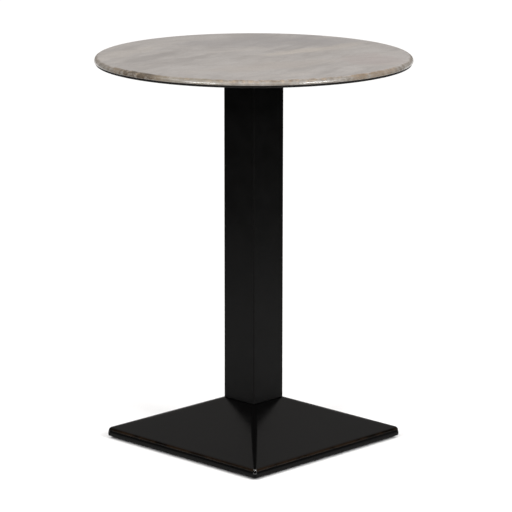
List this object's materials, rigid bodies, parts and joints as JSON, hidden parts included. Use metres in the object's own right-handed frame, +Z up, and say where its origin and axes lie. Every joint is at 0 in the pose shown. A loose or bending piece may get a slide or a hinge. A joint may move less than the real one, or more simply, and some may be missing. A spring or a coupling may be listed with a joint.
{
  "type": "bistro table",
  "caption": "Round pedestal table: thin moulded top with a stone-look decor, square black steel column, cast pyramid base and screw-adjustable levelling feet.",
  "frame": {"origin": "on the floor, under the column's axis", "axes": "+Z up; the base's edges run along X and Y"},
  "size_m": [0.6, 0.6, 0.747],
  "materials": {
    "stone_decor": "satin decor laminate, cloudy warm grey stone look with brown mottling along the rim",
    "moulded_core": "pressed wood fibre, sealed black",
    "powder_coat": "satin black powder coat",
    "coated_iron": "satin black powder coat over a fine cast texture",
    "zinc_steel": "bright zinc plate",
    "black_nylon": "moulded, matt"
  },
  "bodies": {
    "root": {"tabletop_decor": "stone_decor", "tabletop_core": "moulded_core", "top_spider": "coated_iron", "top_screw_1": "zinc_steel", "top_screw_2": "zinc_steel", "top_screw_3": "zinc_steel", "top_screw_4": "zinc_steel", "top_screw_5": "zinc_steel", "top_screw_6": "zinc_steel", "top_screw_7": "zinc_steel", "top_screw_8": "zinc_steel", "column": "powder_coat", "tie_rod": "zinc_steel", "tie_rod_top_washer": "zinc_steel", "tie_rod_top_nut": "zinc_steel", "base_casting": "coated_iron", "base_washer": "zinc_steel", "base_spring_washer": "zinc_steel", "base_nut": "zinc_steel"},
    "pad_1": {"foot_pad_1": "black_nylon"},
    "pad_2": {"foot_pad_2": "black_nylon"},
    "pad_3": {"foot_pad_3": "black_nylon"},
    "pad_4": {"foot_pad_4": "black_nylon"},
    "stud_1": {"foot_stud_1": "zinc_steel"},
    "stud_2": {"foot_stud_2": "zinc_steel"},
    "stud_3": {"foot_stud_3": "zinc_steel"},
    "stud_4": {"foot_stud_4": "zinc_steel"}
  },
  "joints": [
    {"name": "foot_1_travel", "type": "slide", "parent": "root", "child": "pad_1", "axis": [0, 0, -1], "range_m": [0, 0.01]},
    {"name": "foot_2_travel", "type": "slide", "parent": "root", "child": "pad_2", "axis": [0, 0, -1], "range_m": [0, 0.01]},
    {"name": "foot_3_travel", "type": "slide", "parent": "root", "child": "pad_3", "axis": [0, 0, -1], "range_m": [0, 0.01]},
    {"name": "foot_4_travel", "type": "slide", "parent": "root", "child": "pad_4", "axis": [0, 0, -1], "range_m": [0, 0.01]},
    {"name": "foot_1_turn", "type": "hinge", "parent": "pad_1", "child": "stud_1", "pos_m": [0.155, 0.155, 0], "axis": [0, 0, -1], "range_deg": [0, 2880]},
    {"name": "foot_2_turn", "type": "hinge", "parent": "pad_2", "child": "stud_2", "pos_m": [-0.155, 0.155, 0], "axis": [0, 0, -1], "range_deg": [0, 2880]},
    {"name": "foot_3_turn", "type": "hinge", "parent": "pad_3", "child": "stud_3", "pos_m": [-0.155, -0.155, 0], "axis": [0, 0, -1], "range_deg": [0, 2880]},
    {"name": "foot_4_turn", "type": "hinge", "parent": "pad_4", "child": "stud_4", "pos_m": [0.155, -0.155, 0], "axis": [0, 0, -1], "range_deg": [0, 2880]}
  ],
  "couplings": [
    {"joint": "foot_1_travel", "follows": "foot_1_turn", "m_per_rad": 0.00019894},
    {"joint": "foot_2_travel", "follows": "foot_2_turn", "m_per_rad": 0.00019894},
    {"joint": "foot_3_travel", "follows": "foot_3_turn", "m_per_rad": 0.00019894},
    {"joint": "foot_4_travel", "follows": "foot_4_turn", "m_per_rad": 0.00019894}
  ]
}
